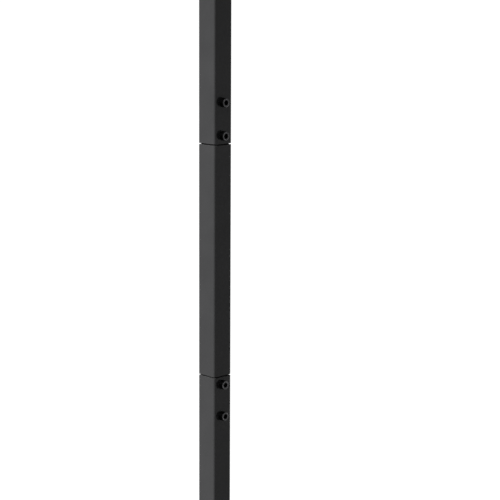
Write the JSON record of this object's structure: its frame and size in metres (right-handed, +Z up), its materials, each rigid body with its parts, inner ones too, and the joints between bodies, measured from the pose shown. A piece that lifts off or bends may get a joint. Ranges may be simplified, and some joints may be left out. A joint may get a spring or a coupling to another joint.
{
  "type": "hose hanger",
  "caption": "Free-standing hose hanger: a sectional square-tube post on a pronged foot plate, with a round-bar saddle and raised front lip at the top that carries a coiled hose.",
  "frame": {"origin": "on the post's axis at the ground line, at the middle of the prong pattern on the foot plate's underside", "axes": "+Z up along the post; -Y is the front, where the cradle stands out and the joint screws show; +X to the right seen from the front"},
  "size_m": [0.2528, 0.1925, 1.0394],
  "materials": {
    "coated_tube": "matt dark grey powder coat",
    "coated_sleeve": "matt black primer",
    "coated_bar": "matt dark grey powder coat",
    "coated_foot": "matt dark grey powder coat",
    "black_screw": "black oxide",
    "plain_nut": "plain steel",
    "moulded_plug": "moulded black"
  },
  "bodies": {
    "root": {"lower_post": "coated_tube", "middle_post": "coated_tube", "upper_post": "coated_tube", "lower_coupler": "coated_sleeve", "upper_coupler": "coated_sleeve", "lower_joint_screws": "black_screw", "upper_joint_screws": "black_screw", "lower_weld_nuts": "plain_nut", "upper_weld_nuts": "plain_nut", "post_plug": "moulded_plug", "back_arch": "coated_bar", "front_arch": "coated_bar", "cradle_brace": "coated_bar", "cradle_hook_1": "coated_bar", "cradle_hook_2": "coated_bar", "cradle_hook_3": "coated_bar", "cradle_hook_4": "coated_bar", "cradle_hook_5": "coated_bar", "foot_plate": "coated_foot", "ground_prong_1": "coated_foot", "ground_prong_2": "coated_foot", "ground_prong_3": "coated_foot", "ground_prong_4": "coated_foot"}
  },
  "joints": []
}
